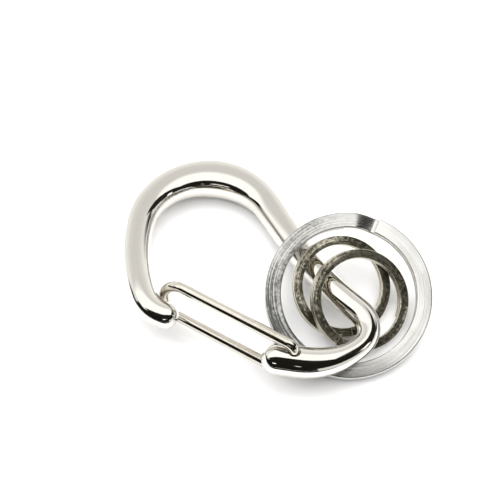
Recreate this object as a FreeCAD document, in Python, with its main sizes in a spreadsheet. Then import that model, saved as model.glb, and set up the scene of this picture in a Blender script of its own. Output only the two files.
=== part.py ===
import FreeCAD, Part
import Sketcher
import math
import os

# Carabiner keyring: an open hook bent from polished rod, its wire gate and three split rings.
# Millimetres, table at Z = 0, +Z up, +X along the hook from the wide bend to the narrow bend,
# +Y towards the long straight side. The origin is under the centre of the bounding box.

V = FreeCAD.Vector
Z_AXIS = V(0, 0, 1)
DRAWN_RADIUS = 2.0     # what a sketch's circle is drawn at before its expression sizes it
DRILL_OVERSHOOT = 1.0  # how far a drilled seat's profile stands out of the rod
STEP_SECTIONS = 11     # sections lofted through a split ring's step

doc = FreeCAD.newDocument("carabiner_keyring")
sheet = doc.addObject("Spreadsheet::Sheet", "Sizes")

SIZES = [
    # Gate hinge point in the frame, and how far the hook leans because its arm lies on the rings.
    ("hinge_x", 13.06), ("hinge_y", -14.52), ("hinge_height", 7.86), ("hook_roll", -7.15),
    # Hook centreline, walked from the hinged end of the arm round to the nose. The waist bends the other way.
    ("arm_start_x", -2.69), ("arm_start_y", -1.03), ("arm_heading", 20.6),
    ("arm_length", 4.0), ("arm_bend_radius", 14.83), ("arm_bend_angle", 51.7),
    ("small_bend_radius", 5.35), ("small_bend_angle", 93.9),
    ("waist_radius", 64.0), ("waist_low_angle", 11.0), ("waist_high_angle", 7.3), ("spine_length", 9.54),
    ("crown_near_radius", 13.71), ("crown_near_angle", 52.2),
    ("crown_far_radius", 14.22), ("shoulder_angle", 44.0), ("crown_far_angle", 44.1),
    ("side_radius", 35.86), ("side_angle", 28.7),
    ("nose_radius", 6.04), ("nose_angle", 52.5), ("nose_length", 0.6),
    # Rod diameters along that centreline.
    ("arm_diameter", 6.2), ("small_bend_start_diameter", 4.2), ("small_bend_end_diameter", 5.1),
    ("waist_diameter", 5.45), ("spine_low_diameter", 5.85), ("spine_high_diameter", 6.35),
    ("crown_diameter", 8.0), ("shoulder_diameter", 7.05), ("side_diameter", 6.15),
    ("nose_bend_diameter", 5.6), ("nose_diameter", 5.25),
    # Drilled seats for the gate's two turned-in ends; their common axis leans away from the rod's normal.
    ("seat_diameter", 2.24), ("seat_floor", 1.35), ("seat_mouth_diameter", 2.6), ("seat_mouth_depth", 0.3),
    ("seat_tilt", -6.9),
    # Wire gate: one wire, two legs and a half-round end.
    ("wire_diameter", 2.1), ("gate_length", 28.7), ("gate_end_radius", 4.5), ("gate_rest_turn", -1.9),
    ("gate_hinge_rise", 4.5), ("gate_turn_radius", 1.5), ("gate_stub_end", 1.6),
    # Large split ring.
    ("large_outer_diameter", 33.0), ("large_inner_diameter", 26.8), ("large_thickness", 2.6),
    ("large_coil_gap", 0.12), ("large_edge_round", 0.28), ("large_step_angle", 22.0), ("large_step_lag", 1.6),
    ("large_upper_end_gap", 1.5), ("large_lower_end_gap", 1.5),
    ("large_x", 2.77), ("large_y", 18.41), ("large_height", 6.23),
    ("large_lean_heading", -44.9), ("large_lean", 17.6), ("large_turn", 154.5),
    # Small split rings: the same section, cut a little differently.
    ("small_outer_diameter", 20.0), ("small_inner_diameter", 16.4), ("small_thickness", 2.0),
    ("small_coil_gap", 0.10), ("small_edge_round", 0.18),
    ("rear_step_angle", 46.0), ("rear_step_lag", 1.0),
    ("rear_upper_end_gap", 2.0), ("rear_lower_end_gap", 3.0),
    ("rear_x", 0.45), ("rear_y", 19.87), ("rear_height", 5.47),
    ("rear_lean_heading", -25.27), ("rear_lean", 27.97), ("rear_turn", 4.5),
    ("front_step_angle", 58.0), ("front_step_lag", 1.0),
    ("front_upper_end_gap", 2.0), ("front_lower_end_gap", 38.0),
    ("front_x", 5.02), ("front_y", 18.81), ("front_height", 5.72),
    ("front_lean_heading", -24.6), ("front_lean", 29.09), ("front_turn", -32.5),
]

for row, (alias, value) in enumerate(SIZES, start=1):
    sheet.set("A%d" % row, alias.replace("_", " "))
    sheet.set("B%d" % row, str(value))
    sheet.setAlias("B%d" % row, alias)
doc.recompute()


def size(alias):
    """One value read back from the sheet."""
    return float(sheet.get(alias))


def cell(alias):
    """The expression that points at one cell."""
    return "Sizes." + alias


def origin_item(body, role):
    """One of a body's own origin planes or axes."""
    for item in body.Origin.OriginFeatures:
        if item.Role == role:
            return item
    raise RuntimeError("no origin item " + role)


def new_sketch(body, name, role, offset=None):
    """A sketch attached to one of the body's own origin planes."""
    sketch = body.newObject("Sketcher::SketchObject", name)
    sketch.AttachmentSupport = [(origin_item(body, role), "")]
    sketch.MapMode = "FlatFace"
    if offset is not None:
        sketch.AttachmentOffset = offset
    return sketch


def new_body(name):
    body = doc.addObject("PartDesign::Body", name)
    body.Label = name
    return body


def circle_sketch(body, name, role, offset, diameter_expression):
    """A sketch holding one circle about its own origin, its diameter bound to the sheet."""
    sketch = new_sketch(body, name, role, offset)
    sketch.addGeometry(Part.Circle(V(0, 0, 0), Z_AXIS, DRAWN_RADIUS), False)
    sketch.addConstraint(Sketcher.Constraint("Coincident", 0, 3, -1, 1))
    sketch.addConstraint(Sketcher.Constraint("Diameter", 0, 2 * DRAWN_RADIUS))
    sketch.renameConstraint(1, "rod")
    sketch.setExpression("Constraints.rod", diameter_expression)
    return sketch


def short_arc(centre, radius, start, end):
    """The arc about a centre from start, anticlockwise to end (angles in radians)."""
    return Part.ArcOfCircle(Part.Circle(centre, Z_AXIS, radius), start, end)


# ---------------------------------------------------------------- hook body
hook = new_body("hook_body")

# The centreline is walked piece by piece; each joint carries the rod's diameter there.
WALK = [
    ("line", size("arm_length"), 0.0, "arm_diameter"),
    ("arc", size("arm_bend_radius"), size("arm_bend_angle"), "small_bend_start_diameter"),
    ("arc", size("small_bend_radius"), size("small_bend_angle"), "small_bend_end_diameter"),
    ("arc", size("waist_radius"), -size("waist_low_angle"), "waist_diameter"),
    ("arc", size("waist_radius"), -size("waist_high_angle"), "spine_low_diameter"),
    ("line", size("spine_length"), 0.0, "spine_high_diameter"),
    ("arc", size("crown_near_radius"), size("crown_near_angle"), "crown_diameter"),
    ("arc", size("crown_far_radius"), size("shoulder_angle"), "shoulder_diameter"),
    ("arc", size("crown_far_radius"), size("crown_far_angle"), "side_diameter"),
    ("arc", size("side_radius"), size("side_angle"), "nose_bend_diameter"),
    ("arc", size("nose_radius"), size("nose_angle"), "nose_diameter"),
    ("line", size("nose_length"), 0.0, "nose_diameter"),
]
centreline = new_sketch(hook, "centreline", "XY_Plane")
x, y = size("arm_start_x"), size("arm_start_y")
heading = math.radians(size("arm_heading"))
stations = [(x, y, heading, "arm_diameter")]
for kind, first, turn, diameter in WALK:
    if kind == "line":
        next_x, next_y = x + first * math.cos(heading), y + first * math.sin(heading)
        centreline.addGeometry(Part.LineSegment(V(x, y, 0), V(next_x, next_y, 0)), False)
    else:
        # The centre lies to the left of a left turn and to the right of a right one.
        side = math.copysign(1.0, turn)
        centre = V(x - side * first * math.sin(heading), y + side * first * math.cos(heading), 0)
        start = heading - side * math.pi / 2
        heading += math.radians(turn)
        end = heading - side * math.pi / 2
        centreline.addGeometry(short_arc(centre, first, min(start, end), max(start, end)), False)
        next_x = centre.x + side * first * math.sin(heading)
        next_y = centre.y - side * first * math.cos(heading)
    x, y = next_x, next_y
    stations.append((x, y, heading, diameter))

sections = []
for number, (x, y, heading, diameter) in enumerate(stations):
    tangent = V(math.cos(heading), math.sin(heading), 0)
    turn = FreeCAD.Rotation(Z_AXIS, tangent.cross(Z_AXIS), tangent, "XZY")
    sections.append(circle_sketch(hook, "rod_section_%02d" % number, "XY_Plane",
                                  FreeCAD.Placement(V(x, y, 0), turn), cell(diameter)))
doc.recompute()

rod = hook.newObject("PartDesign::AdditivePipe", "rod")
rod.Profile = sections[0]
rod.Spine = (centreline, ["Edge%d" % (i + 1) for i in range(len(WALK))])
rod.Sections = sections[1:]
rod.Transformation = "Multisection"
rod.Mode = "Standard"
doc.recompute()

# Domed ends: a quarter disc of the rod's own radius turned about the centreline at each end.
for name, station, facing, alias in (("arm_dome", stations[0], math.pi, "arm_diameter"),
                                     ("nose_dome", stations[-1], 0.0, "nose_diameter")):
    outward = FreeCAD.Rotation(Z_AXIS, math.degrees(station[2] + facing))
    quarter = new_sketch(hook, name + "_profile", "XY_Plane",
                         FreeCAD.Placement(V(station[0], station[1], 0), outward))
    quarter.addGeometry(Part.LineSegment(V(0, 0, 0), V(DRAWN_RADIUS, 0, 0)), False)
    quarter.addGeometry(short_arc(V(0, 0, 0), DRAWN_RADIUS, 0.0, math.pi / 2), False)
    quarter.addGeometry(Part.LineSegment(V(0, DRAWN_RADIUS, 0), V(0, 0, 0)), False)
    for rule in (("Coincident", 0, 1, -1, 1), ("Horizontal", 0), ("Coincident", 1, 3, -1, 1),
                 ("Coincident", 0, 2, 1, 1), ("Coincident", 1, 2, 2, 1), ("Coincident", 2, 2, -1, 1),
                 ("Vertical", 2), ("Radius", 1, DRAWN_RADIUS)):
        quarter.addConstraint(Sketcher.Constraint(*rule))
    quarter.renameConstraint(7, "ball")
    quarter.setExpression("Constraints.ball", cell(alias) + " / 2")
    doc.recompute()
    dome = hook.newObject("PartDesign::Revolution", name)
    dome.Profile = quarter
    dome.ReferenceAxis = (quarter, ["H_Axis"])
    dome.Angle = 360.0
    doc.recompute()

# Two drilled seats on the hinge axis, one from each face of the arm, each with a slightly opened mouth.
seat_radius = size("seat_diameter") / 2
mouth_radius = size("seat_mouth_diameter") / 2
surface = size("arm_diameter") / 2
for name, facing in (("seat_upper", 1.0), ("seat_lower", -1.0)):
    before = hook.Shape.Volume
    outline = [(0, size("seat_floor")), (seat_radius, size("seat_floor")),
               (seat_radius, surface - size("seat_mouth_depth")), (mouth_radius, surface),
               (mouth_radius, surface + DRILL_OVERSHOOT), (0, surface + DRILL_OVERSHOOT)]
    corners = [V(x, facing * y, 0) for x, y in outline]
    drill = new_sketch(hook, name + "_profile", "XZ_Plane",
                       FreeCAD.Placement(V(0, 0, 0), FreeCAD.Rotation(V(1, 0, 0), size("seat_tilt"))))
    for start, end in zip(corners, corners[1:] + corners[:1]):
        drill.addGeometry(Part.LineSegment(start, end), False)
    doc.recompute()
    seat = hook.newObject("PartDesign::Groove", name)
    seat.Profile = drill
    seat.ReferenceAxis = (drill, ["V_Axis"])
    seat.Angle = 360.0
    doc.recompute()
    if hook.Shape.Volume >= before - 1.0:
        raise RuntimeError(name + " cut nothing")

hook_turn = FreeCAD.Rotation(V(1, 0, 0), size("hook_roll"))
hook_place = FreeCAD.Placement(V(size("hinge_x"), size("hinge_y"), size("hinge_height")), hook_turn)
hook.Placement = hook_place

# ---------------------------------------------------------------- wire gate
gate = new_body("wire_gate")
turn_radius = size("gate_turn_radius")
end_radius = size("gate_end_radius")
turn_x, turn_y = -turn_radius, size("gate_hinge_rise") - turn_radius
end_x, end_y = -(size("gate_length") - end_radius), 0.0
# The leg touches the small turn at the hinge and the half-round end: its normal's direction.
reach = math.hypot(end_x - turn_x, end_y - turn_y)
line_angle = math.atan2(end_y - turn_y, end_x - turn_x)
normal_angle = line_angle - math.acos((end_radius - turn_radius) / reach)
normal = V(math.cos(normal_angle), math.sin(normal_angle), 0)
turn_centre = V(turn_x, turn_y, 0)
end_centre = V(end_x, end_y, 0)
leg_start = turn_centre + normal * turn_radius
leg_end = end_centre + normal * end_radius


def mirrored(point):
    return V(point.x, -point.y, 0)


# The path lies in the body's XZ plane: sketch X is along the gate, sketch Y across the hook's plane.
path = new_sketch(gate, "wire_path", "XZ_Plane")
stub_end = V(0, size("gate_stub_end"), 0)
stub_top = V(0, turn_y, 0)
path.addGeometry(Part.LineSegment(stub_end, stub_top), False)
path.addGeometry(short_arc(turn_centre, turn_radius, 0.0, normal_angle), False)
path.addGeometry(Part.LineSegment(leg_start, leg_end), False)
path.addGeometry(short_arc(end_centre, end_radius, normal_angle, 2 * math.pi - normal_angle), False)
path.addGeometry(Part.LineSegment(mirrored(leg_end), mirrored(leg_start)), False)
path.addGeometry(short_arc(mirrored(turn_centre), turn_radius, -normal_angle, 0.0), False)
path.addGeometry(Part.LineSegment(mirrored(stub_top), mirrored(stub_end)), False)
wire_profile = circle_sketch(gate, "wire_section", "XY_Plane",
                             FreeCAD.Placement(V(0, 0, size("gate_stub_end")), FreeCAD.Rotation()),
                             cell("wire_diameter"))
doc.recompute()
wire = gate.newObject("PartDesign::AdditivePipe", "wire")
wire.Profile = wire_profile
wire.Spine = (path, ["Edge%d" % (i + 1) for i in range(7)])
doc.recompute()
gate_turn = FreeCAD.Rotation(V(1, 0, 0), size("seat_tilt"))
gate_turn = gate_turn.multiply(FreeCAD.Rotation(Z_AXIS, size("gate_rest_turn")))
gate.Placement = hook_place.multiply(FreeCAD.Placement(V(0, 0, 0), gate_turn))


# ---------------------------------------------------------------- split rings
def coil_section(body, name, prefix, angle, centre_height):
    """A rounded rectangle standing on a radial plane of the ring, sized from the sheet."""
    family = "large" if prefix == "large" else "small"
    outer = size(family + "_outer_diameter") / 2
    inner = size(family + "_inner_diameter") / 2
    half = (size(family + "_thickness") - size(family + "_coil_gap")) / 4
    corner = size(family + "_edge_round")
    sketch = new_sketch(body, name, "XZ_Plane")
    # Turned about the ring's own axis: the sketch's Y stays upright and its X stays radial.
    sketch.AttachmentOffset = FreeCAD.Placement(V(0, 0, 0), FreeCAD.Rotation(V(0, 1, 0), angle))
    low, high = centre_height - half, centre_height + half
    spots = [(outer - corner, low + corner, -90), (outer - corner, high - corner, 0),
             (inner + corner, high - corner, 90), (inner + corner, low + corner, 180)]
    sides = [(V(inner + corner, low, 0), V(outer - corner, low, 0)),
             (V(outer, low + corner, 0), V(outer, high - corner, 0)),
             (V(outer - corner, high, 0), V(inner + corner, high, 0)),
             (V(inner, high - corner, 0), V(inner, low + corner, 0))]
    for (start, end), (cx, cy, first) in zip(sides, spots):
        sketch.addGeometry(Part.LineSegment(start, end), False)
        sketch.addGeometry(short_arc(V(cx, cy, 0), corner, math.radians(first),
                                     math.radians(first + 90)), False)
    return sketch


def split_ring(label, prefix):
    """One flat wire wound twice: an upper turn, a step down, and a lower turn."""
    family = "large" if prefix == "large" else "small"
    body = new_body(label)
    step = size(prefix + "_step_angle")
    level = (size(family + "_thickness") + size(family + "_coil_gap")) / 4
    # Upper turn, from the top of the step round to its blunt end.
    upper_sweep = 360.0 - step - size(prefix + "_upper_end_gap")
    upper_section = coil_section(body, prefix + "_upper_section", prefix, step / 2, level)
    doc.recompute()
    upper = body.newObject("PartDesign::Revolution", prefix + "_upper_turn")
    upper.Profile = upper_section
    upper.ReferenceAxis = (origin_item(body, "Z_Axis"), [""])
    upper.Angle = upper_sweep
    doc.recompute()
    # The step: sections easing from the upper level to the lower one.
    ladder = []
    for i in range(STEP_SECTIONS):
        share = i / (STEP_SECTIONS - 1.0)
        # A lag above one keeps the wire high for longer and then drops it more steeply.
        late = share ** size(prefix + "_step_lag")
        ease = late * late * (3.0 - 2.0 * late)
        ladder.append(coil_section(body, "%s_step_%d" % (prefix, i), prefix,
                                   step / 2 - step * share, level - 2 * level * ease))
    doc.recompute()
    ramp = body.newObject("PartDesign::AdditiveLoft", prefix + "_step")
    ramp.Profile = ladder[0]
    ramp.Sections = ladder[1:]
    doc.recompute()
    # Lower turn, from its blunt end round to the foot of the step.
    lower_start = step / 2 + size(prefix + "_lower_end_gap")
    lower_section = coil_section(body, prefix + "_lower_section", prefix, lower_start, -level)
    doc.recompute()
    lower = body.newObject("PartDesign::Revolution", prefix + "_lower_turn")
    lower.Profile = lower_section
    lower.ReferenceAxis = (origin_item(body, "Z_Axis"), [""])
    lower.Angle = 360.0 - step / 2 - lower_start
    doc.recompute()
    lean = FreeCAD.Rotation(Z_AXIS, size(prefix + "_lean_heading"))
    lean = lean.multiply(FreeCAD.Rotation(V(0, 1, 0), size(prefix + "_lean")))
    lean = lean.multiply(FreeCAD.Rotation(Z_AXIS, size(prefix + "_turn")))
    centre = V(size("hinge_x") + size(prefix + "_x"), size("hinge_y") + size(prefix + "_y"),
               size(prefix + "_height"))
    body.Placement = FreeCAD.Placement(centre, lean)
    return body


large_ring = split_ring("large_split_ring", "large")
rear_ring = split_ring("small_split_ring_rear", "rear")
front_ring = split_ring("small_split_ring_front", "front")

# ---------------------------------------------------------------- checks and files
doc.recompute()
for item in doc.Objects:
    if "Invalid" in item.State or "Error" in item.State:
        raise RuntimeError("%s failed: %s" % (item.Name, item.State))

os.makedirs("parts", exist_ok=True)
for body in (hook, gate, large_ring, rear_ring, front_ring):
    shape = body.Shape
    if shape.isNull() or not shape.isValid() or len(shape.Solids) != 1:
        raise RuntimeError(body.Label + " is not one valid solid")
    box = shape.BoundBox
    print("%s volume %.2f  x %.2f..%.2f  y %.2f..%.2f  z %.2f..%.2f" % (
        body.Label, shape.Volume, box.XMin, box.XMax, box.YMin, box.YMax, box.ZMin, box.ZMax))
    shape.exportStep("parts/%s.step" % body.Label)
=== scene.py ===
import math

import bmesh
import bpy
import numpy as np
from mathutils import Matrix, Vector


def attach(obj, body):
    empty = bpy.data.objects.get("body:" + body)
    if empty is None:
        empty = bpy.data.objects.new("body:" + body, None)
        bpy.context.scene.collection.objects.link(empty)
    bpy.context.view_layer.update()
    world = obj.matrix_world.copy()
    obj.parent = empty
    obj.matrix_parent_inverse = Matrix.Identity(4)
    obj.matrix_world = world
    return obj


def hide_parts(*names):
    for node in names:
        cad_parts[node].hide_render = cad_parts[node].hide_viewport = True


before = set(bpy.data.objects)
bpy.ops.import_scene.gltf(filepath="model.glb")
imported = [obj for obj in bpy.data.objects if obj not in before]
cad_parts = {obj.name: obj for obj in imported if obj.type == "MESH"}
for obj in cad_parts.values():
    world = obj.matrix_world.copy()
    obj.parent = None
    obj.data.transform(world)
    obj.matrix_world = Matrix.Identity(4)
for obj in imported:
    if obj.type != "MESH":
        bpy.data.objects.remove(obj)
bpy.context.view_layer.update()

MM = 0.001
rad = math.radians

# The camera's direction round the object and height above it, in degrees, and its distance in metres.
AZIMUTH = 28.49
ELEVATION = 62.0
DISTANCE = 0.400
AIM = (-6.76, 5.09, 3.0)
LENS, SENSOR = 144.0, 36.0

# ------------------------------------------------------------------ sizes, in millimetres and degrees
HINGE = (13.06, -14.52, 7.86)
HOOK_ROLL = -7.15
ARM_START = (-2.69, -1.03, 20.6)
# Centreline pieces: (length or radius, turn, rod diameter at the piece's far end)
WALK = [(4.0, 0.0, 6.2), (14.83, 51.7, 4.2), (5.35, 93.9, 5.1), (64.0, -11.0, 5.45), (64.0, -7.3, 5.85),
        (9.54, 0.0, 6.35), (13.71, 52.2, 8.0), (14.22, 44.0, 7.05), (14.22, 44.1, 6.15), (35.86, 28.7, 5.6),
        (6.04, 52.5, 5.25), (0.6, 0.0, 5.25)]
ARM_DIAMETER = 6.2
DOME_STEPS = 14        # stations in each domed end of the rod
EASING = 1.0           # how far the rod's bends and diameters are eased along it

# The two drilled seats: width, floor and opened mouth, measured along the hinge from the rod's centre
SEAT_RADIUS, SEAT_FLOOR, SEAT_MOUTH, SEAT_LIP, SEAT_TILT = 1.12, 1.35, 1.3, 0.3, -6.9
SEAT_POINT = 0.25      # depth of the drill's cone below the seat's floor
LIP_ROUND = (0.1, 0.13)
DRILL_FLARE, DRILL_OVERSHOOT = 0.15, 1.2
SEAT_ZONE = 3.2        # the drilled mesh gets its exact normals back this far from the hinge
SEAT_FACES = 2.0       # and the seats' own walls lie this near to it
ON_SURFACE = 0.02      # a point this near to the rod's radius belongs to its surface

# The wire gate, in its own plane, and how far it is turned at rest
WIRE_RADIUS, GATE_LENGTH, GATE_END, GATE_RISE, GATE_TURN, STUB_END = 1.05, 28.7, 4.5, 4.5, 1.5, 1.6
GATE_REST = -1.9

SAME_POINT = 1e-8      # metres: mesh points this near to each other are one point
WIRE_CHAMFER = 0.10    # worn edge on the blunt ends of a split ring's wire
# Rings: outer and inner radius, thickness, coil gap, edge round, step angle, gaps at the upper and lower
# ends, how late the step falls, centre from the hinge (x, y) and height, lean heading, lean and turn
LARGE = dict(ro=16.5, ri=13.4, t=2.6, gap=0.12, edge=0.32, step=22.0, up=1.5, low=1.5, lag=1.6,
             x=2.77, y=18.41, z=6.23, head=-44.9, lean=17.6, turn=154.5)
REAR = dict(ro=10.0, ri=8.2, t=2.0, gap=0.10, edge=0.24, step=46.0, up=2.0, low=3.0, lag=1.0,
            x=0.45, y=19.87, z=5.47, head=-25.27, lean=27.97, turn=4.5)
FRONT = dict(ro=10.0, ri=8.2, t=2.0, gap=0.10, edge=0.24, step=58.0, up=2.0, low=38.0, lag=1.0,
             x=5.02, y=18.81, z=5.72, head=-24.6, lean=29.09, turn=-32.5)

# ------------------------------------------------------------------ mesh building
def smooth(values, radius):
    """A Gaussian-like running mean, ends held."""
    reach = int(radius * 3)
    kernel = np.exp(-0.5 * (np.arange(-reach, reach + 1) / radius) ** 2)
    kernel /= kernel.sum()
    padded = np.concatenate([np.full(reach, values[0]), values, np.full(reach, values[-1])])
    return np.convolve(padded, kernel, mode="valid")


def eased(marks, values, at):
    """Smooth interpolation through named values, with no overshoot."""
    marks, values = np.array(marks, float), np.array(values, float)
    slope = np.diff(values) / np.diff(marks)
    tangent = np.zeros(len(values))
    for i in range(1, len(values) - 1):
        if slope[i - 1] * slope[i] > 0:
            tangent[i] = 2 * slope[i - 1] * slope[i] / (slope[i - 1] + slope[i])
    i = np.clip(np.searchsorted(marks, at) - 1, 0, len(marks) - 2)
    h = marks[i + 1] - marks[i]
    t = np.clip((at - marks[i]) / h, 0, 1)
    return ((2 * t ** 3 - 3 * t ** 2 + 1) * values[i] + (t ** 3 - 2 * t ** 2 + t) * h * tangent[i]
            + (-2 * t ** 3 + 3 * t ** 2) * values[i + 1] + (t ** 3 - t ** 2) * h * tangent[i + 1])


def make_object(name, verts, faces, uvs=None, kinds=None):
    """A smooth-shaded mesh object from millimetre points, with an optional UV per corner and a face mask."""
    mesh = bpy.data.meshes.new(name)
    mesh.from_pydata([tuple(v) for v in np.asarray(verts) * MM], [], faces)
    mesh.validate()
    mesh.polygons.foreach_set("use_smooth", [True] * len(mesh.polygons))
    if uvs is not None:
        layer = mesh.uv_layers.new(name="along")
        layer.data.foreach_set("uv", np.asarray(uvs, np.float32).ravel())
    if kinds is not None:
        attribute = mesh.attributes.new("flat_side", "FLOAT", "POINT")
        attribute.data.foreach_set("value", np.asarray(kinds, np.float32))
    mesh.update()
    obj = bpy.data.objects.new(name, mesh)
    bpy.context.scene.collection.objects.link(obj)
    return obj


def face_outward(mesh):
    """Joins the points that coincide and turns every face of a closed mesh outward."""
    shape = bmesh.new()
    shape.from_mesh(mesh)
    bmesh.ops.remove_doubles(shape, verts=shape.verts, dist=SAME_POINT)
    bmesh.ops.recalc_face_normals(shape, faces=shape.faces)
    shape.to_mesh(mesh)
    shape.free()


def sweep(name, rings, along, around, kinds=None):
    """Quads between rings of points, closed by a face at each end; along and around give the UV."""
    rings = np.asarray(rings, float)
    n, m = rings.shape[:2]
    faces, uvs = [], []
    for i in range(n - 1):
        for j in range(m):
            k = (j + 1) % m
            faces.append((i * m + j, i * m + k, (i + 1) * m + k, (i + 1) * m + j))
            a0, a1 = around[j], around[j + 1]
            uvs += [(along[i], a0), (along[i], a1), (along[i + 1], a1), (along[i + 1], a0)]
    faces.append(tuple(range(m - 1, -1, -1)))
    uvs += [(along[0], around[j]) for j in range(m - 1, -1, -1)]
    faces.append(tuple((n - 1) * m + j for j in range(m)))
    uvs += [(along[-1], around[j]) for j in range(m)]
    obj = make_object(name, rings.reshape(-1, 3), faces, uvs, kinds)
    face_outward(obj.data)
    return obj


def tube(name, points, normals, binormals, radii, segments, stations):
    """A round tube about a centreline; where the radii run to nearly nothing, its ends close as domes."""
    angle = np.linspace(0, 2 * np.pi, segments, endpoint=False)
    across = np.cos(angle)[None, :, None] * normals[:, None, :]
    upward = np.sin(angle)[None, :, None] * binormals[:, None, :]
    ring = points[:, None, :] + radii[:, None, None] * (across + upward)
    around = np.linspace(0, 2 * np.pi, segments + 1) * float(np.median(radii))
    return sweep(name, ring, stations, around)


def hook_matrix():
    """Places the hook's own plane in the frame, tilted about the hinge."""
    return (Matrix.Translation(Vector(HINGE) * MM) @ Matrix.Rotation(rad(HOOK_ROLL), 4, "X"))


# ------------------------------------------------------------------ the hook's rod
def hook_centreline(step):
    """Points, headings and distances along the rod, with the bends' changes of curvature eased."""
    marks, headings, s, h = [0.0], [rad(ARM_START[2])], 0.0, rad(ARM_START[2])
    diameters = [ARM_DIAMETER]
    for size, turn, diameter in WALK:
        s += size if turn == 0 else size * abs(rad(turn))
        h += rad(turn)
        marks.append(s)
        headings.append(h)
        diameters.append(diameter)
    count = int(s / step) + 1
    at = np.linspace(0, s, count)
    ds = at[1] - at[0]
    heading = smooth(np.interp(at, marks, headings), EASING / ds)
    mid = 0.5 * (heading[1:] + heading[:-1])
    x = ARM_START[0] + np.concatenate([[0], np.cumsum(np.cos(mid)) * ds])
    y = ARM_START[1] + np.concatenate([[0], np.cumsum(np.sin(mid)) * ds])
    radius = smooth(eased(marks, diameters, at), EASING / ds) / 2
    return x, y, heading, at, radius


def build_hook():
    """The rod with its two domed ends, flat in its own plane."""
    step = 0.3
    segments = 96
    x, y, heading, at, radius = hook_centreline(step)
    # Domes: short stations beyond each end whose radius falls as a quarter circle.
    falling = np.linspace(np.pi / 2, 0.03, DOME_STEPS)
    dome, out = np.sin(falling), np.cos(falling)
    r0, r1 = radius[0], radius[-1]
    head_x = x[0] - math.cos(heading[0]) * r0 * out[:0:-1]
    head_y = y[0] - math.sin(heading[0]) * r0 * out[:0:-1]
    tail_x = x[-1] + math.cos(heading[-1]) * r1 * out[1:]
    tail_y = y[-1] + math.sin(heading[-1]) * r1 * out[1:]
    x = np.concatenate([head_x, x, tail_x])
    y = np.concatenate([head_y, y, tail_y])
    at = np.concatenate([at[0] - r0 * out[:0:-1], at, at[-1] + r1 * out[1:]])
    radius = np.concatenate([r0 * dome[:0:-1], radius, r1 * dome[1:]])
    extra = DOME_STEPS - 1
    heading = np.concatenate([np.full(extra, heading[0]), heading, np.full(extra, heading[-1])])
    points = np.stack([x, y, np.zeros_like(x)], 1)
    normals = np.stack([np.sin(heading), -np.cos(heading), np.zeros_like(x)], 1)
    up = np.tile([0.0, 0.0, 1.0], (len(x), 1))
    obj = tube("hook_rod", points, normals, up, radius, segments, at)
    return obj, points, radius


def seat_cutter(side):
    """The turned shape of one drilled seat, its axis along the hinge."""
    top = ARM_DIAMETER / 2
    lip = top - SEAT_LIP
    outline = [(0.0, SEAT_FLOOR - SEAT_POINT), (SEAT_RADIUS, SEAT_FLOOR), (SEAT_RADIUS, lip),
               (SEAT_RADIUS + LIP_ROUND[0], lip + LIP_ROUND[1]), (SEAT_MOUTH, top),
               (SEAT_MOUTH + DRILL_FLARE, top + DRILL_OVERSHOOT), (0.0, top + DRILL_OVERSHOOT)]
    n = 48
    verts, faces = [], []
    for r, z in outline[1:-1]:
        for k in range(n):
            a = 2 * math.pi * k / n
            verts.append((r * math.cos(a), r * math.sin(a), side * z))
    rows = len(outline) - 2
    for i in range(rows - 1):
        for k in range(n):
            q = (k + 1) % n
            face = (i * n + k, i * n + q, (i + 1) * n + q, (i + 1) * n + k)
            faces.append(face if side > 0 else face[::-1])
    base, cap = len(verts), len(verts) + 1
    verts += [(0, 0, side * outline[0][1]), (0, 0, side * outline[-1][1])]
    for k in range(n):
        q = (k + 1) % n
        a, b = (q, k, base), ((rows - 1) * n + k, (rows - 1) * n + q, cap)
        faces += [a if side > 0 else a[::-1], b if side > 0 else b[::-1]]
    cutter = make_object("seat_cutter", verts, faces)
    cutter.data.transform(Matrix.Rotation(rad(SEAT_TILT), 4, "X"))
    return cutter


def drill_seats(obj, points, radius):
    """Cuts both seats, then gives the rod its exact normals back, so that reflections have no dents."""
    cutters = [seat_cutter(1), seat_cutter(-1)]
    for cutter in cutters:
        modifier = obj.modifiers.new("seat", "BOOLEAN")
        modifier.operation = "DIFFERENCE"
        modifier.solver = "EXACT"
        modifier.object = cutter
    bpy.context.view_layer.update()
    evaluated = obj.evaluated_get(bpy.context.evaluated_depsgraph_get())
    mesh = bpy.data.meshes.new_from_object(evaluated)
    obj.modifiers.clear()
    obj.data = mesh
    for cutter in cutters:
        bpy.data.objects.remove(cutter)
    co = np.zeros(len(mesh.vertices) * 3)
    mesh.vertices.foreach_get("co", co)
    co = co.reshape(-1, 3) / MM
    middle = np.hypot(co[:, 0], co[:, 1]) < SEAT_ZONE
    spine, reach = points[DOME_STEPS:-DOME_STEPS], radius[DOME_STEPS:-DOME_STEPS]
    pace = np.linalg.norm(np.gradient(spine, axis=0), axis=1)
    slope = np.gradient(reach) / np.maximum(pace, 1e-6)
    near = {}
    for i in np.nonzero(middle)[0]:
        d = np.linalg.norm(spine - co[i], axis=1)
        k = int(d.argmin())
        if k > 0 and abs(d[k] - reach[k]) < ON_SURFACE:
            out = (co[i] - spine[k]) / d[k]
            tangent = spine[min(k + 1, len(spine) - 1)] - spine[k]
            tangent /= max(np.linalg.norm(tangent), 1e-9)
            normal = out - slope[k] * tangent
            near[i] = normal / np.linalg.norm(normal)
    loops = []
    for polygon in mesh.polygons:
        polygon.use_smooth = True
        ids = list(polygon.vertices)
        if all(i in near for i in ids):
            loops += [tuple(near[i]) for i in ids]
        elif any(middle[i] for i in ids) and polygon.center.xy.length / MM < SEAT_FACES:
            loops += [tuple(polygon.normal)] * len(ids)
        else:
            loops += [(0.0, 0.0, 0.0)] * len(ids)
    mesh.normals_split_custom_set(loops)


hook, hook_points, hook_radius = build_hook()
drill_seats(hook, hook_points, hook_radius)
hook.data.transform(hook_matrix())
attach(hook, "hook")
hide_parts("hook_body")


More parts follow.
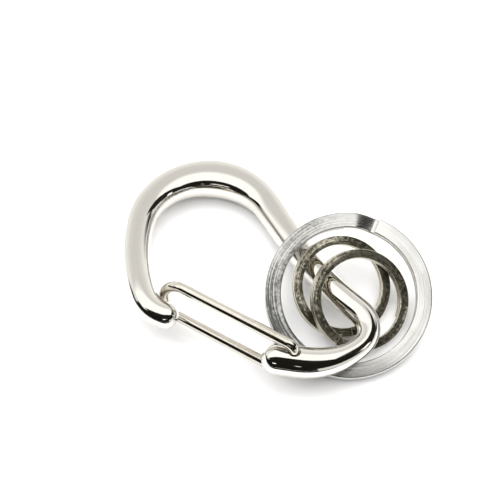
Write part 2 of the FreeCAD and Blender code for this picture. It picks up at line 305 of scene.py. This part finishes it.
# ------------------------------------------------------------------ the gate's wire
def build_gate():
    """One wire: a stub in each seat, a small turn, two straight legs and a half-round end."""
    tx, ty = -GATE_TURN, GATE_RISE - GATE_TURN
    ex, ey = -(GATE_LENGTH - GATE_END), 0.0
    reach = math.hypot(ex - tx, ey - ty)
    # The leg touches the small turn and the half-round end at the same angle.
    lean = math.acos((GATE_END - GATE_TURN) / reach)
    normal = (math.atan2(ey - ty, ex - tx) - lean) % (2 * math.pi)
    path = [(0.0, z) for z in np.linspace(STUB_END, ty, 6)[:-1]]
    path += [(tx + GATE_TURN * math.cos(a), ty + GATE_TURN * math.sin(a))
             for a in np.linspace(0, normal, 16)]
    leg0 = np.array(path[-1])
    leg1 = np.array([ex + GATE_END * math.cos(normal), ey + GATE_END * math.sin(normal)])
    path += [tuple(leg0 + (leg1 - leg0) * t) for t in np.linspace(0, 1, 40)[1:-1]]
    path += [(ex + GATE_END * math.cos(a), ey + GATE_END * math.sin(a))
             for a in np.linspace(normal, math.pi, 28)]
    half = np.array(path)
    whole = np.concatenate([half, (half * [1, -1])[-2::-1]])
    points = np.stack([whole[:, 0], np.zeros(len(whole)), whole[:, 1]], 1)
    tangent = np.gradient(points, axis=0)
    tangent /= np.linalg.norm(tangent, axis=1)[:, None]
    side = np.tile([0.0, 1.0, 0.0], (len(points), 1))
    up = np.cross(tangent, side)
    run = np.concatenate([[0], np.cumsum(np.linalg.norm(np.diff(points, axis=0), axis=1))])
    radii = np.full(len(points), WIRE_RADIUS)
    return tube("gate_wire", points, up, side, radii, 32, run)


gate = build_gate()
gate.data.transform(hook_matrix() @ Matrix.Rotation(rad(SEAT_TILT), 4, "X")
                    @ Matrix.Rotation(rad(GATE_REST), 4, "Z"))
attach(gate, "gate")
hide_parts("wire_gate")


# ------------------------------------------------------------------ split rings
def wire_section(half_width, half_height, corner, steps):
    """A rounded rectangle's points, and how far each belongs to the wire's broad flat faces."""
    points, flat = [], []
    for cx, cy, first in ((1, -1, -90), (1, 1, 0), (-1, 1, 90), (-1, -1, 180)):
        for k in range(steps + 1):
            a = rad(first + 90.0 * k / steps)
            points.append((cx * (half_width - corner) + corner * math.cos(a),
                           cy * (half_height - corner) + corner * math.sin(a)))
            flat.append(abs(math.sin(a)) ** 2)
    return np.array(points), np.array(flat)


def build_split_ring(name, spec):
    """One flat wire wound twice: an upper turn, a step down and a lower turn."""
    level = (spec["t"] + spec["gap"]) / 4
    half_height = (spec["t"] - spec["gap"]) / 4
    half_width = (spec["ro"] - spec["ri"]) / 2
    middle = (spec["ro"] + spec["ri"]) / 2
    section, flat = wire_section(half_width, half_height, spec["edge"], 5)
    step = spec["step"]
    start = 360 - step / 2 - spec["up"]
    end = -360 + step / 2 + spec["low"]
    pitch = 1.2
    angles = np.concatenate([np.linspace(start, step / 2, int((start - step / 2) / pitch)),
                             np.linspace(step / 2, -step / 2, 48)[1:],
                             np.linspace(-step / 2, end, int((-step / 2 - end) / pitch))[1:]])
    share = np.clip((step / 2 - angles) / step, 0, 1) ** spec["lag"]
    height = level - 2 * level * (share ** 2 * (3 - 2 * share))
    # Blunt ends with a worn edge: the outermost stations are drawn in a little.
    tip = np.degrees(WIRE_CHAMFER / middle)
    angles = np.concatenate([[angles[0], angles[0] - tip], angles[1:-1], [angles[-1] + tip, angles[-1]]])
    height = np.concatenate([[height[0], height[0]], height[1:-1], [height[-1], height[-1]]])
    shrink = np.ones(len(angles))
    shrink[0] = shrink[-1] = 0.0
    rings = []
    for a, h, full in zip(angles, height, shrink):
        points = section.copy()
        if not full:
            limit = np.array([half_width, half_height]) - WIRE_CHAMFER
            points = np.clip(points, -limit, limit)
        radial = middle + points[:, 0]
        rings.append(np.stack([radial * math.cos(rad(a)), radial * math.sin(rad(a)), points[:, 1] + h], 1))
    edge = np.linalg.norm(np.diff(np.vstack([section, section[:1]]), axis=0), axis=1)
    around = np.concatenate([[0], np.cumsum(edge)])
    along = np.radians(angles[0] - angles) * middle
    kinds = np.tile(flat, (len(angles), 1))
    kinds[:2] = kinds[-2:] = 0.0
    obj = sweep(name, np.array(rings)[::-1], along[::-1], around, kinds[::-1].ravel())
    place = (Matrix.Translation(Vector((HINGE[0] + spec["x"], HINGE[1] + spec["y"], spec["z"])) * MM)
             @ Matrix.Rotation(rad(spec["head"]), 4, "Z") @ Matrix.Rotation(rad(spec["lean"]), 4, "Y")
             @ Matrix.Rotation(rad(spec["turn"]), 4, "Z"))
    obj.data.transform(place)
    modifier = obj.modifiers.new("flats", "WEIGHTED_NORMAL")
    modifier.keep_sharp = True
    return obj


for name, spec, body, node, slot in (
        ("large_ring_wire", LARGE, "large_ring", "large_split_ring", "large_ring_wire"),
        ("rear_ring_wire", REAR, "rear_ring", "small_split_ring_rear", "small_ring_wire"),
        ("front_ring_wire", FRONT, "front_ring", "small_split_ring_front", "small_ring_wire")):
    ring = build_split_ring(name, spec)
    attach(ring, body)
    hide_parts(node)


# ------------------------------------------------------------------ materials
CLOUD_SCALE = 170.0          # blotches of stain, per metre
GRAIN_SCALE = 1500.0         # fine specks, per metre
STREAKS = (0.06, 4.0, 1.0)   # scratches per millimetre along and across the wire
BUMP_DEPTH = 0.00003         # metres


def metal(name, colour, stain, amount, specks, roughness, streaks, relief, painted_light_sides=(), flats=None,
          film=0.0):
    """Plated steel: a clouded stain with fine specks, scratches along the wire and worn roughness.

    amount, specks and film say how strong, how grainy and how dull the stain is; painted_light_sides lists
    directions across the object towards which the stain fades out, a painted highlight on that side of the
    wire, and flats is how much of it is left off the wire's broad faces.
    """
    material = bpy.data.materials.new(name)
    material.use_nodes = True
    nodes, links = material.node_tree.nodes, material.node_tree.links
    shader = nodes["Principled BSDF"]
    shader.inputs["Metallic"].default_value = 1.0

    def noise(vector, scale, detail, rough=0.5):
        texture = nodes.new("ShaderNodeTexNoise")
        texture.inputs["Scale"].default_value = scale
        texture.inputs["Detail"].default_value = detail
        texture.inputs["Roughness"].default_value = rough
        links.new(vector, texture.inputs["Vector"])
        return texture.outputs["Fac"]

    def ramp(source, low, high, first=0.0, last=1.0):
        piece = nodes.new("ShaderNodeMapRange")
        piece.interpolation_type = "SMOOTHSTEP"
        for socket, value in (("From Min", low), ("From Max", high), ("To Min", first), ("To Max", last)):
            piece.inputs[socket].default_value = value
        links.new(source, piece.inputs["Value"])
        return piece.outputs["Result"]

    def combine(kind, first, second):
        piece = nodes.new("ShaderNodeMath")
        piece.operation = kind
        links.new(first, piece.inputs[0])
        if isinstance(second, float):
            piece.inputs[1].default_value = second
        else:
            links.new(second, piece.inputs[1])
        return piece.outputs["Value"]

    place = nodes.new("ShaderNodeTexCoord").outputs["Object"]
    wire = nodes.new("ShaderNodeUVMap")
    wire.uv_map = "along"
    stretch = nodes.new("ShaderNodeMapping")
    stretch.inputs["Scale"].default_value = STREAKS
    links.new(wire.outputs["UV"], stretch.inputs["Vector"])
    cloud = noise(place, CLOUD_SCALE, 3.0)
    grains = noise(place, GRAIN_SCALE, 4.0, 0.65)
    streak = noise(stretch.outputs["Vector"], 1.0, 4.0, 0.6)
    mask = ramp(cloud, 0.30, 0.70, 0.55 * amount, amount)
    mask = combine("MULTIPLY", mask, ramp(grains, 0.38, 0.62, 1.0 - specks, 1.0))
    mask = combine("MULTIPLY", mask, ramp(streak, 0.36, 0.60, 0.35, 1.0))
    for direction, low, high, least in painted_light_sides:
        # Painted highlight and shade: the stain fades out towards a given side of the object, so the wire
        # there looks bright as if light fell on it, and the opposite side stays grey as painted shade.
        dot = nodes.new("ShaderNodeVectorMath")
        dot.operation = "DOT_PRODUCT"
        links.new(place, dot.inputs[0])
        dot.inputs[1].default_value = direction
        mask = combine("MULTIPLY", mask, ramp(dot.outputs["Value"], low, high, 1.0, least))
    if flats is not None:
        # The wire's broad faces are duller than its polished edges.
        face = nodes.new("ShaderNodeAttribute")
        face.attribute_name = "flat_side"
        mask = combine("MULTIPLY", mask, ramp(face.outputs["Fac"], 0.35, 0.95, flats, 1.0))
    tint = nodes.new("ShaderNodeMix")
    tint.data_type = "RGBA"
    tint.inputs["A"].default_value = (*colour, 1)
    tint.inputs["B"].default_value = (*stain, 1)
    links.new(mask, tint.inputs["Factor"])
    links.new(tint.outputs["Result"], shader.inputs["Base Color"])
    # Where the stain is thickest it is a dull film over the metal.
    links.new(ramp(mask, 0.2, 1.0, 1.0, 1.0 - film), shader.inputs["Metallic"])
    scratched = ramp(streak, 0.35, 0.7, 0.0, streaks)
    worn = combine("ADD", ramp(cloud, 0.3, 0.7, *roughness), scratched)
    links.new(worn, shader.inputs["Roughness"])
    height = combine("ADD", streak, combine("MULTIPLY", grains, 0.6))
    bump = nodes.new("ShaderNodeBump")
    bump.inputs["Strength"].default_value = relief
    bump.inputs["Distance"].default_value = BUMP_DEPTH
    links.new(height, bump.inputs["Height"])
    links.new(bump.outputs["Normal"], shader.inputs["Normal"])
    return material


def level_direction(turn):
    """A level direction, in degrees anticlockwise from the camera's right."""
    return (math.cos(rad(AZIMUTH + turn)), math.sin(rad(AZIMUTH + turn)), 0.0)


METALS = {
    "hook_rod": metal("polished_rod", colour=(0.71, 0.69, 0.655), stain=(0.60, 0.57, 0.51),
                      amount=0.45, specks=0.3, roughness=(0.045, 0.085), streaks=0.03, relief=0.05),
    "gate_wire": metal("gate_wire", colour=(0.68, 0.65, 0.59), stain=(0.40, 0.36, 0.28),
                       amount=0.6, specks=0.5, roughness=(0.06, 0.12), streaks=0.05, relief=0.10),
    # The large ring's stain fades out towards the camera's right and a little away from it: a painted
    # highlight on that side of the ring, with its left side kept grey as painted shade.
    "large_ring_wire": metal("large_ring", colour=(0.70, 0.69, 0.67), stain=(0.085, 0.085, 0.080),
                             amount=2.5, specks=0.35, roughness=(0.15, 0.23), streaks=0.16, relief=0.25,
                             painted_light_sides=((level_direction(0), 0.002, 0.022, 0.06),
                                         (level_direction(50), -0.010, 0.005, 0.55)),
                             flats=0.25, film=0.1),
}
METALS["rear_ring_wire"] = metal("small_ring", colour=(0.60, 0.56, 0.46), stain=(0.036, 0.032, 0.019),
                                 amount=2.5, specks=0.60, roughness=(0.10, 0.18), streaks=0.12,
                                 relief=0.20, flats=0.01, film=0.45)
METALS["front_ring_wire"] = METALS["rear_ring_wire"]
for name, material in METALS.items():
    mesh = bpy.data.objects[name].data
    mesh.materials.clear()
    mesh.materials.append(material)

# ------------------------------------------------------------------ floor, lights, camera
def build_floor(half_side=3.0, shade=0.9):
    """A plain pale sheet under the object."""
    mesh = bpy.data.meshes.new("floor")
    corners = [(-1, -1), (1, -1), (1, 1), (-1, 1)]
    mesh.from_pydata([(half_side * x, half_side * y, 0) for x, y in corners], [], [(0, 1, 2, 3)])
    floor = bpy.data.objects.new("floor", mesh)
    bpy.context.scene.collection.objects.link(floor)
    paper = bpy.data.materials.new("paper")
    paper.use_nodes = True
    inputs = paper.node_tree.nodes["Principled BSDF"].inputs
    inputs["Base Color"].default_value = (shade, shade, shade, 1)
    inputs["Roughness"].default_value = 0.9
    mesh.materials.append(paper)


build_floor()

def studio(right, away, up):
    """A place given to the right of, away from and above the object, as the camera sees it."""
    turn = Matrix.Rotation(rad(AZIMUTH), 3, "Z")
    return turn @ Vector((right, away, up))


def area_light(name, place, aim, size, power):
    light = bpy.data.lights.new(name, "AREA")
    light.shape = "RECTANGLE"
    light.size, light.size_y = size
    light.energy = power
    obj = bpy.data.objects.new(name, light)
    obj.location = place
    obj.rotation_euler = (Vector(aim) - Vector(place)).to_track_quat("-Z", "Y").to_euler()
    bpy.context.scene.collection.objects.link(obj)
    return obj


def card(name, corners, glow):
    """A studio card: it shows in polished metal but neither lights nor shades the floor."""
    mesh = bpy.data.meshes.new(name)
    mesh.from_pydata([tuple(studio(*corner)) for corner in corners], [], [(0, 1, 2, 3)])
    obj = bpy.data.objects.new(name, mesh)
    bpy.context.scene.collection.objects.link(obj)
    material = bpy.data.materials.new(name)
    material.use_nodes = True
    nodes, links = material.node_tree.nodes, material.node_tree.links
    nodes.remove(nodes["Principled BSDF"])
    light = nodes.new("ShaderNodeEmission")
    light.inputs["Color"].default_value = (*glow, 1)
    light.inputs["Strength"].default_value = 1.0
    links.new(light.outputs["Emission"], nodes["Material Output"].inputs["Surface"])
    mesh.materials.append(material)
    obj.visible_camera = False
    obj.visible_diffuse = False
    obj.visible_shadow = False
    obj.visible_transmission = False
    return obj


def fade(obj, first, last):
    """Turns a card's glow from one colour at its near side to another at its far side."""
    mesh = obj.data
    layer = mesh.uv_layers.new(name="fade")
    for corner, value in zip(layer.data, ((0, 0), (1, 0), (1, 1), (0, 1))):
        corner.uv = value
    nodes, links = mesh.materials[0].node_tree.nodes, mesh.materials[0].node_tree.links
    place = nodes.new("ShaderNodeUVMap")
    split = nodes.new("ShaderNodeSeparateXYZ")
    ease = nodes.new("ShaderNodeMapRange")
    ease.interpolation_type = "SMOOTHSTEP"
    mix = nodes.new("ShaderNodeMix")
    mix.data_type = "RGBA"
    mix.inputs["A"].default_value = (*first, 1)
    mix.inputs["B"].default_value = (*last, 1)
    links.new(place.outputs["UV"], split.inputs["Vector"])
    links.new(split.outputs["Y"], ease.inputs["Value"])
    links.new(ease.outputs["Result"], mix.inputs["Factor"])
    links.new(mix.outputs["Result"], nodes["Emission"].inputs["Color"])


def level_card(name, right, away, up, glow):
    return card(name, [(right[0], away[0], up), (right[1], away[0], up), (right[1], away[1], up),
                       (right[0], away[1], up)], glow)


DIFFUSER, DIFFUSER_WIDTH, DIFFUSER_HEIGHT = (1.55, 1.55, 1.52), (-0.115, 0.051), 0.062
BACK_WALL, HORIZON = (0.90, 0.89, 0.87), (1.22, 1.22, 1.20)
DARK_CLOTH, SIDE_CLOTH = (0.014, 0.013, 0.010), (0.020, 0.018, 0.014)

# The diffuser hangs close over the object; in front and to the right of it the room is dark.
level_card("diffuser", DIFFUSER_WIDTH, (-0.048, 0.016), DIFFUSER_HEIGHT, DIFFUSER)
fade(level_card("diffuser_edge", DIFFUSER_WIDTH, (0.016, 0.034), DIFFUSER_HEIGHT, DIFFUSER),
     DIFFUSER, BACK_WALL)
level_card("flag_front", (-0.075, 0.30), (-0.30, -0.026), 0.051, DARK_CLOTH)
level_card("flag_right", (0.051, 0.30), (-0.048, 0.060), DIFFUSER_HEIGHT, SIDE_CLOTH)
level_card("apron", (-0.30, 0.30), (-0.40, -0.060), 0.0006, DARK_CLOTH)
# Small lamps under the front flag, seen in the dark bands on the rod, and two upright cards at the right.
level_card("lamp_left", (-0.048, -0.014), (-0.088, -0.077), 0.049, (2.6, 2.6, 2.5))
level_card("lamp_middle", (0.001, 0.008), (-0.086, -0.080), 0.049, (2.0, 2.0, 1.9))
card("bounce", [(0.100, -0.040, 0.001), (0.045, -0.115, 0.001), (0.045, -0.115, 0.034),
                (0.100, -0.040, 0.030)], (1.0, 1.0, 0.97))
card("side_lamp", [(0.078, -0.018, 0.026), (0.078, -0.034, 0.026), (0.078, -0.034, 0.045),
                   (0.078, -0.018, 0.045)], (1.6, 1.6, 1.55))


def studio_world():
    """A room that is pale behind the object, paler still low down, and dark in front of it."""
    world = bpy.data.worlds.new("studio")
    bpy.context.scene.world = world
    world.use_nodes = True
    nodes, links = world.node_tree.nodes, world.node_tree.links
    coordinates = nodes.new("ShaderNodeTexCoord")
    turn = nodes.new("ShaderNodeMapping")
    turn.inputs["Rotation"].default_value = (0, 0, rad(-AZIMUTH))
    links.new(coordinates.outputs["Generated"], turn.inputs["Vector"])
    split = nodes.new("ShaderNodeSeparateXYZ")
    links.new(turn.outputs["Vector"], split.inputs["Vector"])

    def ramp(source, low, high):
        piece = nodes.new("ShaderNodeMapRange")
        piece.interpolation_type = "SMOOTHSTEP"
        piece.inputs["From Min"].default_value = low
        piece.inputs["From Max"].default_value = high
        links.new(source, piece.inputs["Value"])
        return piece.outputs["Result"]

    def product(first, second):
        piece = nodes.new("ShaderNodeMath")
        piece.operation = "MULTIPLY"
        links.new(first, piece.inputs[0])
        links.new(second, piece.inputs[1])
        return piece.outputs["Value"]

    def blend(factor, under, over):
        piece = nodes.new("ShaderNodeMix")
        piece.data_type = "RGBA"
        links.new(factor, piece.inputs["Factor"])
        for socket, value in (("A", under), ("B", over)):
            if isinstance(value, tuple):
                piece.inputs[socket].default_value = (*value, 1)
            else:
                links.new(value, piece.inputs[socket])
        return piece.outputs["Result"]

    right, away, up = split.outputs["X"], split.outputs["Y"], split.outputs["Z"]
    back = blend(ramp(up, 0.80, 0.15), BACK_WALL, HORIZON)
    side = blend(product(ramp(right, 0.70, 0.92), ramp(up, 0.45, 0.30)), back, (0.05, 0.05, 0.05))
    edge = blend(product(ramp(right, -0.93, -0.97), ramp(up, 0.26, 0.18)), side, (0.04, 0.04, 0.04))
    dark = blend(ramp(away, 0.02, -0.12), edge, (0.012, 0.012, 0.013))
    wall = blend(product(ramp(right, 0.93, 0.97), ramp(up, 0.30, 0.24)), dark, (1.0, 1.0, 0.98))
    links.new(wall, nodes["Background"].inputs["Color"])
    nodes["Background"].inputs["Strength"].default_value = 1.0


studio_world()
key = area_light("key", studio(0.0, 0.10, 0.60), (0, 0, 0), (1.2, 1.2), 12.3)
key.visible_glossy = False

camera_data = bpy.data.cameras.new("camera")
camera_data.lens = LENS
camera_data.sensor_width = SENSOR
camera = bpy.data.objects.new("camera", camera_data)
aim = Vector(AIM) * MM
camera.location = aim + DISTANCE * Vector((math.sin(rad(AZIMUTH)) * math.cos(rad(ELEVATION)),
                                           -math.cos(rad(AZIMUTH)) * math.cos(rad(ELEVATION)),
                                           math.sin(rad(ELEVATION))))
camera.rotation_euler = (aim - camera.location).to_track_quat("-Z", "Y").to_euler()
bpy.context.scene.collection.objects.link(camera)
bpy.context.scene.camera = camera
bpy.context.scene.view_settings.view_transform = "Standard"
